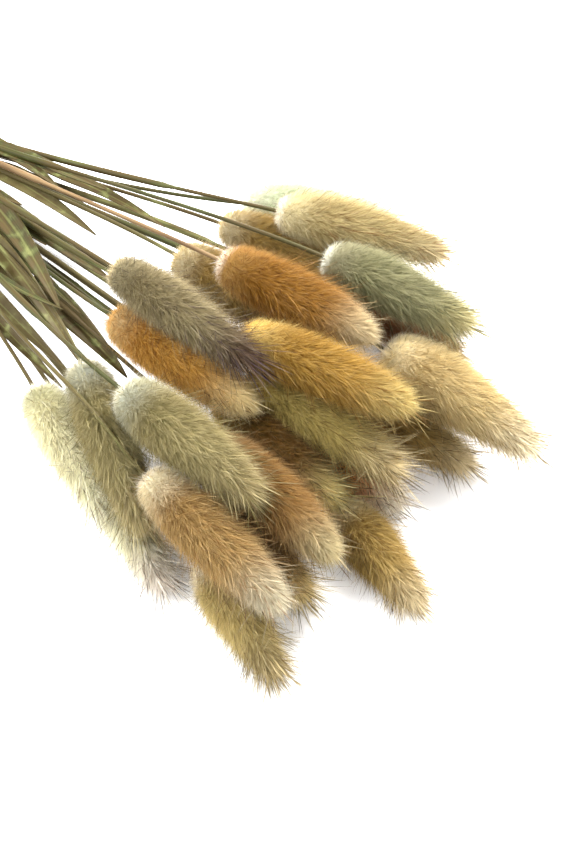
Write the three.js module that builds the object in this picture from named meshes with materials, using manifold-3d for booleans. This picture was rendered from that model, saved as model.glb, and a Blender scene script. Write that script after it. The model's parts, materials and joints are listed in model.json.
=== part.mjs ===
// Dried bunny tail grass: a bunch of culms, tied once and laid down on a surface.
// Lengths are millimetres and angles degrees. X runs along the bunch from the cut ends to the heads,
// Y goes across it and Z is up. The bunch is laid out from the foot of the tie, then moved to its own middle.
import * as THREE from "three";
import { mergeVertices } from "three/addons/utils/BufferGeometryUtils.js";
import Module from "manifold-3d";

// The gap between neighbours that touch on the real bunch, and how far off is out of reach.
const GAP = 0.3;
const FAR = 50;

// Colours of the dried heads, stems and twine.
const TONES = {
  sage: "#c3c8a4",
  mint: "#b9c6a8",
  cream: "#cfc49c",
  olive: "#9a9668",
  straw: "#cdb184",
  amber: "#d3a253",
  caramel: "#c48a45",
  peach: "#d0aa79",
  taupe: "#9c8f72",
  brown: "#a98352",
  green: "#7f8351",
  tan: "#b98d5c",
  jute: "#b79a6b",
};

// The culms from the lowest to the topmost: where the head starts, which way it points (yaw to the left,
// pitch up), how long and thick it is, and its colour. The height is where it lies with nothing under it.
const CULMS = [
  { base: [161, 60, 10], yaw: 33, pitch: 1, length: 55, radius: 7.4, tone: "sage" },
  { base: [248, -56, 6], yaw: -20, pitch: 2, length: 50, radius: 7.4, tone: "olive" },
  { base: [197, -51, 6], yaw: -23, pitch: 2, length: 56, radius: 6.8, tone: "taupe" },
  { base: [233, -36, 6], yaw: -11, pitch: 2, length: 52, radius: 7.0, tone: "taupe" },
  { base: [266, -14, 6], yaw: -15, pitch: 2, length: 47, radius: 7.4, tone: "brown" },
  { base: [231, 0, 6], yaw: -1, pitch: 2, length: 53, radius: 6.8, tone: "brown" },
  { base: [240, 21, 7], yaw: 6, pitch: 1, length: 52, radius: 7.0, tone: "brown" },
  { base: [209, 49, 12], yaw: 8, pitch: 0, length: 54, radius: 7.2, tone: "caramel" },
  { base: [164, 45, 14], yaw: 16, pitch: -1, length: 54, radius: 7.0, tone: "cream" },
  { base: [169, -49, 15], yaw: -21, pitch: -1, length: 52, radius: 7.0, tone: "cream" },
  { base: [216, -13, 16], yaw: -4, pitch: 0, length: 57, radius: 7.0, tone: "olive" },
  { base: [246, 35, 22], yaw: 3, pitch: -2, length: 57, radius: 7.6, tone: "straw" },
  { base: [222, -2, 23], yaw: 3, pitch: -1, length: 60, radius: 7.6, tone: "olive" },
  { base: [229, -30, 24], yaw: -6, pitch: -2, length: 58, radius: 7.4, tone: "straw" },
  { base: [168, 20, 22], yaw: 4, pitch: 0, length: 57, radius: 7.4, tone: "cream" },
  { base: [182, 54, 26], yaw: 25, pitch: -1, length: 62, radius: 7.6, tone: "straw" },
  { base: [227, -55, 28], yaw: -5, pitch: -4, length: 60, radius: 7.6, tone: "peach" },
  { base: [174, -17, 28], yaw: 3, pitch: 0, length: 61, radius: 7.6, tone: "caramel" },
  { base: [180, -38, 29], yaw: -28, pitch: -8, length: 64, radius: 7.4, tone: "sage" },
  { base: [201, -39, 35], yaw: -1, pitch: -1, length: 60, radius: 7.6, tone: "sage" },
  { base: [213, 42, 36], yaw: 14, pitch: -4, length: 57, radius: 7.6, tone: "mint" },
  { base: [216, -1, 38], yaw: 16, pitch: -2, length: 61, radius: 7.6, tone: "amber" },
  { base: [192, 15, 42], yaw: 12, pitch: -4, length: 59, radius: 7.6, tone: "caramel", stalk: "tan" },
  { base: [169, -10, 42], yaw: 2, pitch: 2, length: 58, radius: 7.6, tone: "taupe" },
];
const LIFT_STEP = 0.25;

// A head: rings of tufts that lean to the tip, more so near it, round a slimmer core with a flat foot.
const HEAD_RINGS = 14;
const HEAD_SIDES = 12;
const HEAD_FOOT = 1.5;
const HEAD_NOD = -5;
const CORE_SHARE = 0.62;
const TUFT_LEAN = { foot: 1.2, tip: 5.2 };

// A stem: wide in its leaf sheath ahead of the tie, thin from there to its head, and splayed at its cut end.
const STEM_SIDES = 5;
const STEM_RADIUS = { cut: 0.95, tie: 1.0, sheath: 1.15, head: 0.7 };
const SHEATH_END = [0.48, 0.66, 0.56, 0.74];
const STEM_STEPS = { behind: 4, ahead: 13 };
const STEM_BOW = { start: 0.34, end: 0.26 };
const TAIL = { length: 105, across: 1.7, up: 1.1, curve: 1.3 };

// A stem that would cross a neighbour is bent clear: by how much at most, and how late along its way.
const BEND_STEP = 1.5;
const BEND_MOST = 8;
const BEND_PLACES = [0.7, 1.1, 1.7, 2.6, 4];

// The tie: rows of stems side by side from the lowest up, and the turns of twine round them.
const SLOT_PITCH = 2.6;
const SLOT_ROWS = [4, 5, 6, 5, 4];
const TWINE = { radius: 0.9, pitch: 1.7, turns: 4, sides: 30, pressed: 0.3 };
const TURN = { crown: 0.28, high: 0.85, dip: 0.2 };
const KNOT = { radius: 2.3, long: 1.3, flat: 0.7, sunk: 0.4 };
const KNOT_END = { length: 11, spread: 5, arch: 1.4, steps: 4 };

// The leaf blades: on which culm, how far ahead of the tie each leaves its stem, where its tip is, how wide it
// is, and how far its face is rolled over from up at its foot.
const BLADES = [
  { culm: 21, at: 76, tip: [129, 25, 22], width: 6, roll: 10 },
  { culm: 24, at: 92, tip: [161, -28, 32], width: 8, roll: 30 },
  { culm: 14, at: 136, tip: [188, -27, 19], width: 9, roll: 20 },
  { culm: 19, at: 104, tip: [174, -34, 22], width: 7, roll: 20 },
  { culm: 17, at: 96, tip: [169, -35, 14], width: 7, roll: 30 },
  { culm: 22, at: 96, tip: [162, -6, 28], width: 7, roll: 30 },
  { culm: 15, at: 80, tip: [137, 11, 17], width: 6.5, roll: 20 },
  { culm: 12, at: 62, tip: [115, 20, 12], width: 6.5, roll: 30 },
  { culm: 9, at: 92, tip: [154, 27, 20], width: 5, roll: 20 },
  { culm: 18, at: 100, tip: [164, -22, 27], width: 5, roll: 40 },
  { culm: 13, at: 66, tip: [126, -2, 15], width: 8, roll: 20 },
  { culm: 14, at: 78, tip: [158, -28, 15], width: 7, roll: 10 },
  { culm: 22, at: 62, tip: [121, -4, 34], width: 6.5, roll: 20 },
  { culm: 16, at: 66, tip: [112, 19, 14], width: 6, roll: 20 },
  { culm: 8, at: 74, tip: [130, 24, 12], width: 4.6, roll: 10 },
  { culm: 10, at: 112, tip: [171, -40, 12], width: 5.5, roll: 20 },
  { culm: 20, at: 128, tip: [163, -27, 33], width: 2.4, roll: 20 },
  { culm: 3, at: 70, tip: [136, -26, 8], width: 7, roll: 20 },
];
const BLADE_THICK = 0.7;
const BLADE_ROOM = 0.5;
const BLADE_STEPS = 8;
const BLADE_BOW = 0.4;
const BLADE_FOLD = 0.16;
const BLADE_TWIST = -25;

const rad = THREE.MathUtils.degToRad;
const { lerp } = THREE.MathUtils;
const X = new THREE.Vector3(1, 0, 0);
const Z = new THREE.Vector3(0, 0, 1);

const wasm = await Module();
wasm.setup();

// A closed solid of a geometry, whose faces then share their corners.
function solidOf(geometry) {
  const bare = geometry.clone();
  bare.deleteAttribute("normal");
  bare.deleteAttribute("uv");
  const merged = mergeVertices(bare, 1e-4);
  return new wasm.Manifold(
    new wasm.Mesh({
      numProp: 3,
      vertProperties: merged.attributes.position.array,
      triVerts: new Uint32Array(merged.index.array),
    }),
  );
}

function geometryOf(solid) {
  const mesh = solid.getMesh();
  const geometry = new THREE.BufferGeometry();
  geometry.setAttribute("position", new THREE.BufferAttribute(mesh.vertProperties, mesh.numProp));
  geometry.setIndex(new THREE.BufferAttribute(mesh.triVerts, 1));
  return geometry;
}

// A closed body from rings of points that follow one another, each counterclockwise about the way it runs.
// The flip rule picks the diagonal of each four-sided face.
function ringBody(rings, flip = () => false) {
  const sides = rings[0].length;
  const points = rings.flat();
  const faces = [];
  for (let i = 0; i < rings.length - 1; i++) {
    for (let k = 0; k < sides; k++) {
      const [a, b] = [i * sides + k, i * sides + ((k + 1) % sides)];
      const [c, d] = [b + sides, a + sides];
      if (flip(i, k)) faces.push(a, b, d, b, c, d);
      else faces.push(a, b, c, a, c, d);
    }
  }
  const middle = (ring) => ring.reduce((sum, p) => sum.add(p), new THREE.Vector3()).divideScalar(sides);
  points.push(middle(rings[0]), middle(rings[rings.length - 1]));
  const last = (rings.length - 1) * sides;
  for (let k = 0; k < sides; k++) {
    const next = (k + 1) % sides;
    faces.push(points.length - 2, next, k);
    faces.push(points.length - 1, last + k, last + next);
  }
  const geometry = new THREE.BufferGeometry().setFromPoints(points);
  geometry.setIndex(faces);
  return geometry;
}

// A closed loop from rings of points, the last of which meets the first.
function loopBody(rings) {
  const sides = rings[0].length;
  const count = rings.length * sides;
  const faces = [];
  for (let i = 0; i < rings.length; i++) {
    for (let k = 0; k < sides; k++) {
      const [a, b] = [i * sides + k, i * sides + ((k + 1) % sides)];
      const [c, d] = [(b + sides) % count, (a + sides) % count];
      faces.push(a, b, c, a, c, d);
    }
  }
  const geometry = new THREE.BufferGeometry().setFromPoints(rings.flat());
  geometry.setIndex(faces);
  return geometry;
}

// The two directions square to a way, the first of them as near to up as it can be.
function squareTo(way) {
  const left = new THREE.Vector3().crossVectors(Z, way).normalize();
  const up = new THREE.Vector3().crossVectors(way, left);
  return [up, left.negate()];
}

function heading(yaw, pitch) {
  const flat = Math.cos(rad(pitch));
  return new THREE.Vector3(flat * Math.cos(rad(yaw)), flat * Math.sin(rad(yaw)), Math.sin(rad(pitch)));
}

// A head's outline as a share of its radius: a blunt dome at the foot, widest at a third, slim at the tip.
const outline = (s) => Math.sin(Math.PI * s ** 0.76) ** 0.4;

// A head's middle line from foot to tip, as it nods under its own weight.
function headLine(culm, lift) {
  const at = new THREE.Vector3(...culm.base);
  at.z += lift;
  const step = (culm.length - TUFT_LEAN.tip) / HEAD_RINGS;
  return Array.from({ length: HEAD_RINGS + 1 }, (_, i) => {
    const s = i / HEAD_RINGS;
    const way = heading(culm.yaw, culm.pitch + HEAD_NOD * s);
    const radius = culm.radius * outline(THREE.MathUtils.clamp(s, 0.02, 0.97));
    const point = { at: at.clone(), way, s, radius };
    at.addScaledVector(way, step);
    return point;
  });
}

// Room between two tapered rods, from a to b and from c to d, each end with its own radius.
function roomBetween(a, b, c, d) {
  const u = [b.at.x - a.at.x, b.at.y - a.at.y, b.at.z - a.at.z];
  const v = [d.at.x - c.at.x, d.at.y - c.at.y, d.at.z - c.at.z];
  const w = [a.at.x - c.at.x, a.at.y - c.at.y, a.at.z - c.at.z];
  const dot = (p, q) => p[0] * q[0] + p[1] * q[1] + p[2] * q[2];
  const [uu, uv, vv, uw, vw] = [dot(u, u), dot(u, v), dot(v, v), dot(u, w), dot(v, w)];
  const clamp = (share) => Math.min(Math.max(share, 0), 1);
  const cross = uu * vv - uv * uv;
  let s = cross > 1e-9 ? clamp((uv * vw - vv * uw) / cross) : 0;
  const t = clamp((uv * s + vw) / vv);
  s = clamp((uv * t - uw) / uu);
  const apart = Math.hypot(...w.map((_, k) => w[k] + s * u[k] - t * v[k]));
  return apart - lerp(a.radius, b.radius, s) - lerp(c.radius, d.radius, t);
}

// Least room between two lines of points that each have a radius.
function room(one, two) {
  let least = Infinity;
  for (let i = 0; i < one.length - 1; i++) {
    for (let j = 0; j < two.length - 1; j++) {
      if (one[i].at.distanceTo(two[j].at) > FAR) continue;
      least = Math.min(least, roomBetween(one[i], one[i + 1], two[j], two[j + 1]));
    }
  }
  return least;
}

const clears = (line, others) => others.every((other) => room(line, other) >= GAP);
const aboveFloor = (line) => line.every(({ at, radius }) => at.z >= radius);

// The heads are laid one on another: each is lifted until it clears those under it.
const heads = [];
for (const culm of CULMS) {
  let lift = 0;
  while (!clears(headLine(culm, lift), heads)) lift += LIFT_STEP;
  heads.push(headLine(culm, lift));
}

// A head: rings round its line, where every other point is the tip of a tuft that leans forward. Four-sided
// faces are split between the low points, so that each tuft stands out by itself.
function headGeometry(culm, line) {
  const rings = line.slice(0, -1).map(({ at, way, s }, i) => {
    const [up, side] = squareTo(way);
    return Array.from({ length: HEAD_SIDES }, (_, k) => {
      const angle = (2 * Math.PI * k) / HEAD_SIDES;
      const tuft = i > 0 && (i + k) % 2 === 0;
      const full = culm.radius * outline(s);
      const reach = i === 0 ? HEAD_FOOT : tuft ? full : full * CORE_SHARE;
      const lean = tuft ? lerp(TUFT_LEAN.foot, TUFT_LEAN.tip, s) : 0;
      return at
        .clone()
        .addScaledVector(way, lean)
        .addScaledVector(up, reach * Math.cos(angle))
        .addScaledVector(side, reach * Math.sin(angle));
    });
  });
  return ringBody(rings, (i, k) => (i + k) % 2 === 0);
}

// The slots of the stems in the tie, row by row over the tie's foot.
const rowPitch = SLOT_PITCH * Math.sin(rad(60));
const lowestSlot = STEM_RADIUS.tie + GAP + 2 * TWINE.radius - TWINE.pressed;
const halfHeight = ((SLOT_ROWS.length - 1) / 2) * rowPitch;
const tieHeight = lowestSlot + halfHeight;
const tieHalfLength = (TWINE.turns * TWINE.pitch) / 2;
const slots = SLOT_ROWS.flatMap((count, row) =>
  Array.from({ length: count }, (_, k) => {
    return { y: (k - (count - 1) / 2) * SLOT_PITCH, z: lowestSlot + row * rowPitch };
  }),
);
const halfWidth = Math.max(...slots.map(({ y }) => y));

// Each stem takes a slot on the side of the bundle that its head lies on. Two stems change places as long as
// that brings both nearer, so that they fan out without crossing.
function spreadOut(values) {
  const [low, high] = [Math.min(...values), Math.max(...values)];
  return values.map((value) => (2 * (value - low)) / (high - low) - 1);
}
const sideways = spreadOut(heads.map(([{ at }]) => at.y / at.x));
const upwards = spreadOut(heads.map(([{ at }]) => (at.z - tieHeight) / at.x));
const cost = (i, slot) =>
  (slot.y / halfWidth - sideways[i]) ** 2 + ((slot.z - tieHeight) / halfHeight - upwards[i]) ** 2;
const slotOf = [...slots];
for (let swapped = true; swapped; ) {
  swapped = false;
  for (let i = 0; i < slotOf.length; i++) {
    for (let j = 0; j < i; j++) {
      const now = cost(i, slotOf[i]) + cost(j, slotOf[j]);
      if (cost(i, slotOf[j]) + cost(j, slotOf[i]) >= now - 1e-9) continue;
      [slotOf[i], slotOf[j]] = [slotOf[j], slotOf[i]];
      swapped = true;
    }
  }
}

// A stem's middle line from its cut end through the tie to its head, moved aside on its way by a bend.
function stemLine(i, bend) {
  const [slot, head] = [slotOf[i], heads[i][0]];
  const sheathEnd = SHEATH_END[i % SHEATH_END.length];
  const points = [];
  for (let n = 0; n <= STEM_STEPS.behind; n++) {
    const t = 1 - n / STEM_STEPS.behind;
    const x = -lerp(tieHalfLength, TAIL.length, t);
    const y = slot.y * lerp(1, TAIL.across, t ** TAIL.curve);
    const z = tieHeight + (slot.z - tieHeight) * lerp(1, TAIL.up, t ** TAIL.curve);
    points.push({ at: new THREE.Vector3(x, y, z), radius: lerp(STEM_RADIUS.tie, STEM_RADIUS.cut, t) });
  }
  const start = new THREE.Vector3(tieHalfLength, slot.y, slot.z);
  const end = head.at.clone().addScaledVector(head.way, -GAP);
  const span = start.distanceTo(end);
  const first = end.clone().sub(start).normalize().add(X).normalize();
  const curve = new THREE.CubicBezierCurve3(
    start,
    start.clone().addScaledVector(first, STEM_BOW.start * span),
    end.clone().addScaledVector(head.way, -STEM_BOW.end * span),
    end,
  );
  for (let n = 0; n <= STEM_STEPS.ahead; n++) {
    const t = n / STEM_STEPS.ahead;
    const share = Math.sin(Math.PI * t ** bend.place) ** 2 * Math.min(1, 2.5 * t);
    const sheathed = lerp(STEM_RADIUS.tie, STEM_RADIUS.sheath, Math.min(1, 4 * t));
    const radius = t > sheathEnd ? STEM_RADIUS.head : sheathed;
    points.push({ at: curve.getPoint(t).addScaledVector(bend.aside, share), radius });
  }
  return points;
}

// The ways that a stem may be bent aside, the least first.
const bends = [];
for (let y = -BEND_MOST; y <= BEND_MOST; y++) {
  for (let z = -BEND_MOST; z <= BEND_MOST; z++) {
    const aside = new THREE.Vector3(0, y, z).multiplyScalar(BEND_STEP);
    for (const place of BEND_PLACES) bends.push({ aside, place });
  }
}
bends.sort((one, two) => one.aside.length() - two.aside.length());

// The stems find their way between the heads and each other, those of the furthest heads first.
const stems = new Array(heads.length);
const furthestFirst = heads.map((_, i) => i).sort((i, j) => heads[j][0].at.x - heads[i][0].at.x);
for (const i of furthestFirst) {
  const others = heads.filter((_, j) => j !== i).concat(stems.filter(Boolean));
  for (const bend of bends) {
    stems[i] = stemLine(i, bend);
    if (aboveFloor(stems[i]) && clears(stems[i], others)) break;
  }
}

// A tube along a line of points that each have a radius.
function tubeGeometry(line, sides) {
  const rings = line.map(({ at, radius }, i) => {
    const before = line[Math.max(i - 1, 0)].at;
    const after = line[Math.min(i + 1, line.length - 1)].at;
    const [up, side] = squareTo(after.clone().sub(before).normalize());
    return Array.from({ length: sides }, (_, k) => {
      const angle = (2 * Math.PI * k) / sides;
      return at
        .clone()
        .addScaledVector(up, radius * Math.cos(angle))
        .addScaledVector(side, radius * Math.sin(angle));
    });
  });
  return ringBody(rings);
}

// A blade's width along its length as a share of the widest: a clasping foot, a long middle and a point.
const bladeWidth = (t) => lerp(0.3, 1, Math.min(1, t / 0.3) ** 0.8) * (1 - t ** 2.6) ** 0.9 + 0.08;

// A blade's sections: a shallow fold of even thickness that leaves the stem along it, bows over to its tip and
// twists on its way.
function bladeRings(stem, blade, aside) {
  const i = stem.findIndex(({ at }) => at.x > blade.at);
  const [before, after] = [stem[i - 1].at, stem[i].at];
  const foot = before.clone().lerp(after, (blade.at - before.x) / (after.x - before.x));
  const tip = new THREE.Vector3(...blade.tip).add(aside);
  const along = after.clone().sub(before).normalize();
  const bow = foot.clone().addScaledVector(along, BLADE_BOW * foot.distanceTo(tip));
  const curve = new THREE.QuadraticBezierCurve3(foot, bow, tip);
  return Array.from({ length: BLADE_STEPS + 1 }, (_, n) => {
    const t = n / BLADE_STEPS;
    const way = curve.getTangent(t);
    const roll = rad(blade.roll + BLADE_TWIST * t);
    const [face, across] = squareTo(way).map((side) => side.applyAxisAngle(way, roll));
    const half = (blade.width * bladeWidth(t)) / 2;
    const fold = 2 * half * BLADE_FOLD;
    const corner = (high, wide) => curve.getPoint(t).addScaledVector(face, high).addScaledVector(across, wide);
    const top = [corner(fold + BLADE_THICK, -half), corner(BLADE_THICK, 0), corner(fold + BLADE_THICK, half)];
    const under = [corner(fold, half), corner(0, 0), corner(fold, -half)];
    return [...top, ...under];
  });
}

// The edges and the rib of a blade as lines, to keep it clear of its neighbours.
function bladeLines(rings) {
  const middle = (ring, k) => ring[k].clone().lerp(ring[5 - k], 0.5);
  return [0, 1, 2].map((k) => rings.map((ring) => ({ at: middle(ring, k), radius: BLADE_ROOM })));
}

// Each blade reaches for its tip, or for the nearest place to it that is free.
const blades = [];
for (const blade of BLADES) {
  const stem = stems[blade.culm - 1];
  const others = [...heads, ...stems.filter((line) => line !== stem), ...blades.flatMap(({ lines }) => lines)];
  for (const { aside } of bends) {
    const rings = bladeRings(stem, blade, aside);
    const lines = bladeLines(rings);
    if (!lines.every((line) => aboveFloor(line) && clears(line, others))) continue;
    blades.push({ culm: blade.culm, rings, lines });
    break;
  }
}

// A stem with its blades joined to it.
function stemSolid(i) {
  let solid = solidOf(tubeGeometry(stems[i], STEM_SIDES));
  for (const { culm, rings } of blades) {
    if (culm !== i + 1) continue;
    solid = solid.add(solidOf(ringBody(rings, (_, k) => k === 3 || k === 4)));
  }
  return solid;
}

// The tie: turns of twine laid side by side round the stems, as one ribbed band that goes round the bundle.
function tieSolid() {
  const profile = [
    [-tieHalfLength, -TWINE.radius],
    [tieHalfLength, -TWINE.radius],
  ];
  for (let n = 0; n < TWINE.turns; n++) {
    const x = tieHalfLength - (n + 0.5) * TWINE.pitch;
    profile.push([x + TURN.crown * TWINE.pitch, TURN.high * TWINE.radius]);
    profile.push([x - TURN.crown * TWINE.pitch, TURN.high * TWINE.radius]);
    if (n < TWINE.turns - 1) profile.push([x - 0.5 * TWINE.pitch, TURN.dip * TWINE.radius]);
  }
  const reach = STEM_RADIUS.tie + GAP + TWINE.radius;
  const rings = Array.from({ length: TWINE.sides }, (_, k) => {
    const angle = (2 * Math.PI * k) / TWINE.sides;
    const out = new THREE.Vector3(0, Math.cos(angle), Math.sin(angle));
    const outward = (slot) => slot.y * out.y + slot.z * out.z;
    const far = slots.reduce((best, slot) => (outward(slot) > outward(best) ? slot : best));
    return profile.map(([x, high]) => new THREE.Vector3(x, far.y, far.z).addScaledVector(out, reach + high));
  });
  return solidOf(loopBody(rings));
}

// The knot on top of the tie, with its two short ends.
function knotSolid() {
  const height = tieHeight + halfHeight + STEM_RADIUS.tie + GAP + (2 - KNOT.sunk) * TWINE.radius;
  const lump = new THREE.IcosahedronGeometry(KNOT.radius, 1).scale(KNOT.long, 1, KNOT.flat);
  let solid = solidOf(lump.translate(0, 0, height));
  const { length, spread, arch, steps } = KNOT_END;
  for (const sign of [1, -1]) {
    const line = Array.from({ length: steps + 1 }, (_, i) => {
      const t = i / steps;
      const at = new THREE.Vector3(-length * t, sign * spread * t ** 1.4, height + arch * t * (1 - t));
      return { at, radius: TWINE.radius * lerp(1, 0.8, t) };
    });
    solid = solid.add(solidOf(tubeGeometry(line, STEM_SIDES)));
  }
  return solid;
}

// Everything below the surface that the bunch lies on: where hair and twine press on it they are flat.
const FLOOR = { long: 900, wide: 500, deep: 40 };
const slab = new THREE.BoxGeometry(FLOOR.long, FLOOR.wide, FLOOR.deep);
const floor = solidOf(slab.translate(0, 0, -FLOOR.deep / 2));

const laid = new THREE.Group();

function addNode(name, solid, tone) {
  const material = new THREE.MeshStandardMaterial({ color: TONES[tone], roughness: 0.9, metalness: 0 });
  const mesh = new THREE.Mesh(geometryOf(solid), material);
  mesh.name = name;
  laid.add(mesh);
}

CULMS.forEach((culm, i) => {
  const number = String(i + 1).padStart(2, "0");
  addNode("head_" + number, solidOf(headGeometry(culm, heads[i])).subtract(floor), culm.tone);
  addNode("stem_" + number, stemSolid(i), culm.stalk ?? "green");
});
addNode("tie", tieSolid().add(knotSolid()).subtract(floor), "jute");

// The origin goes to the middle of the bunch's foot.
const middle = new THREE.Box3().setFromObject(laid).getCenter(new THREE.Vector3());
laid.position.set(-middle.x, -middle.y, 0);
const bunch = new THREE.Group();
bunch.add(laid);

export default bunch;
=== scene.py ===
"""Dried bunny tail grass: a tied bunch of culms, laid down on a pale table under soft studio light."""

import json
import math

import bpy
import numpy as np
from mathutils import Matrix, Vector


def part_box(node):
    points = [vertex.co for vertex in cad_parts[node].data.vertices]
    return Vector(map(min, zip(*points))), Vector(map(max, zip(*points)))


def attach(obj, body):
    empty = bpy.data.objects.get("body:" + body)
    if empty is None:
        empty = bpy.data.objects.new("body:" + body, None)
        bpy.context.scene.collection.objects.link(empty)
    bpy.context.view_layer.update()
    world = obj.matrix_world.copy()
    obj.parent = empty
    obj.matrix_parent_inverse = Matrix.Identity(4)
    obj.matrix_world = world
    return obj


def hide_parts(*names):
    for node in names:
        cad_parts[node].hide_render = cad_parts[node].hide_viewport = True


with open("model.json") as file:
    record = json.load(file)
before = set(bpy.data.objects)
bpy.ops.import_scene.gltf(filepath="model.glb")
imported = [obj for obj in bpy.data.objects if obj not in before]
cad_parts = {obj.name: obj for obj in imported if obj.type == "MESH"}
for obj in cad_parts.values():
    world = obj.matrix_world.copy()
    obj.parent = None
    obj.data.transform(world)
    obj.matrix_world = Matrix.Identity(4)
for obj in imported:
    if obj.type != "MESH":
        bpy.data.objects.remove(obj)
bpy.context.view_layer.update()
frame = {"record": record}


# Table.
#
# A plain pale sheet that the bunch lies on. It glows a little, as a lit photo table does, so that the
# shadows on it stay faint. It isn't part of the object.
MM = 0.001
TABLE_SIZE = 6.0
TABLE_DROP = 0.05 * MM
TABLE_COLOUR = (0.93, 0.93, 0.945)
TABLE_GLOW = 0.12

# How rough each kind of surface is, and how strongly it shines.
SURFACES = {"table": (0.9, 0.0), "hair": (0.7, 0.12), "culm": (0.58, 0.14), "twine": (0.8, 0.2)}


class Wire:
    """A number, vector or colour on its way through a node tree. Maths on it adds the tree's nodes."""

    def __init__(self, socket):
        self.socket = socket
        self.tree = socket.id_data
        self.is_vector = socket.type in ("VECTOR", "RGBA")

    def maths(self, operation, *terms):
        kind = "ShaderNodeVectorMath" if any(holds_vector(term) for term in terms) else "ShaderNodeMath"
        return put(self.tree, kind, {"operation": operation}, dict(enumerate(terms)))

    def scaled(self, by):
        return put(self.tree, "ShaderNodeVectorMath", {"operation": "SCALE"}, {0: self, "Scale": by})

    def __add__(self, other):
        return self.maths("ADD", self, other)

    def __radd__(self, other):
        return self.maths("ADD", other, self)

    def __sub__(self, other):
        return self.maths("SUBTRACT", self, other)

    def __rsub__(self, other):
        return self.maths("SUBTRACT", other, self)

    def __mul__(self, other):
        if self.is_vector and not holds_vector(other):
            return self.scaled(other)
        if not self.is_vector and holds_vector(other):
            return other.scaled(self)
        return self.maths("MULTIPLY", self, other)

    def __rmul__(self, other):
        return self * other

    def __truediv__(self, other):
        return self.maths("DIVIDE", self, other)

    def __rtruediv__(self, other):
        return self.maths("DIVIDE", other, self)

    def smooth(self, low, high):
        """0 below low, 1 above high, and an easy slope between them."""
        inputs = {"Value": self, "From Min": low, "From Max": high}
        return put(self.tree, "ShaderNodeMapRange", {"interpolation_type": "SMOOTHSTEP"}, inputs)

    def blend(self, one, two):
        """The colour one where this is 0, and two where it is 1."""
        settings = {"data_type": "RGBA", "clamp_factor": True}
        return put(self.tree, "ShaderNodeMix", settings, {"Factor": self, "A": one, "B": two}, "Result")


def holds_vector(term):
    return isinstance(term, (tuple, list, Vector)) or (isinstance(term, Wire) and term.is_vector)


def put(tree, kind, settings=None, inputs=None, output=0):
    """Adds a node of that kind with its settings and then its inputs, and returns one of its outputs."""
    node = tree.nodes.new(kind)
    for name, value in (settings or {}).items():
        setattr(node, name, value)
    for key, value in (inputs or {}).items():
        live = [socket for socket in node.inputs if socket.enabled]
        socket = live[key] if isinstance(key, int) else next(s for s in live if s.name == key)
        if isinstance(value, Wire):
            tree.links.new(value.socket, socket)
        elif socket.type == "RGBA" and len(value) == 3:
            socket.default_value = (*value, 1)
        else:
            socket.default_value = value
    live = [socket for socket in node.outputs if socket.enabled]
    found = live[output] if isinstance(output, int) else next(s for s in live if s.name == output)
    return Wire(found)


def parts_of(tree, vector):
    """The three numbers of a vector."""
    return [Wire(part) for part in put(tree, "ShaderNodeSeparateXYZ", {}, {0: vector}).socket.node.outputs]


def combined(tree, x, y, z=0.0):
    """The vector of those three numbers."""
    return put(tree, "ShaderNodeCombineXYZ", {}, {"X": x, "Y": y, "Z": z})


def noise(tree, place, detail, output="Fac"):
    return put(tree, "ShaderNodeTexNoise", {}, {"Vector": place, "Scale": 1.0, "Detail": detail}, output)


def map_place(tree):
    """The place of a point in the colour map, across it and along it."""
    return parts_of(tree, put(tree, "ShaderNodeUVMap", {"uv_map": "OFBake"}))[:2]


def new_material(name):
    """A material with nothing in it, and its node tree."""
    material = bpy.data.materials.new(name)
    material.use_nodes = True
    material.node_tree.nodes.clear()
    return material, material.node_tree


def plain_shader(tree, kind, colour, more=None):
    """The shader of that kind of surface, in that colour."""
    roughness, shine = SURFACES[kind]
    inputs = {"Base Color": colour, "Roughness": roughness, "Specular IOR Level": shine, **(more or {})}
    return put(tree, "ShaderNodeBsdfPrincipled", {}, inputs)


def show_surface(tree, shader):
    """Ends a material's tree with that shader."""
    ending = tree.nodes.new("ShaderNodeOutputMaterial")
    tree.links.new(shader.socket, ending.inputs["Surface"])


def add_object(name, data):
    """An object in the scene with that data."""
    thing = bpy.data.objects.new(name, data)
    bpy.context.scene.collection.objects.link(thing)
    return thing


def add_mesh(name, points, edges, faces, material=None):
    """An object in the scene with that mesh, and with its material if it has one yet."""
    mesh = bpy.data.meshes.new(name)
    mesh.from_pydata([tuple(point) for point in points], edges, faces)
    if material:
        mesh.materials.append(material)
    return add_object(name, mesh)


table_material, tree = new_material("table")
glow = {"Emission Color": (1.0, 1.0, 1.0), "Emission Strength": TABLE_GLOW}
show_surface(tree, plain_shader(tree, "table", TABLE_COLOUR, glow))
half = TABLE_SIZE / 2
corners = [(-half, -half), (half, -half), (half, half), (-half, half)]
table = add_mesh("table", [(x, y, -TABLE_DROP) for x, y in corners], [], [(0, 1, 2, 3)], table_material)


# Heads.
#
# Each head is one dense oval flower head on the tip of its culm: thousands of fine dry hairs that lean to
# its tip, velvet short over the round foot and long near the tip, with thin stiff bristles that stand out
# of them. They grew in one piece, and each took its own colour as it dried.

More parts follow.
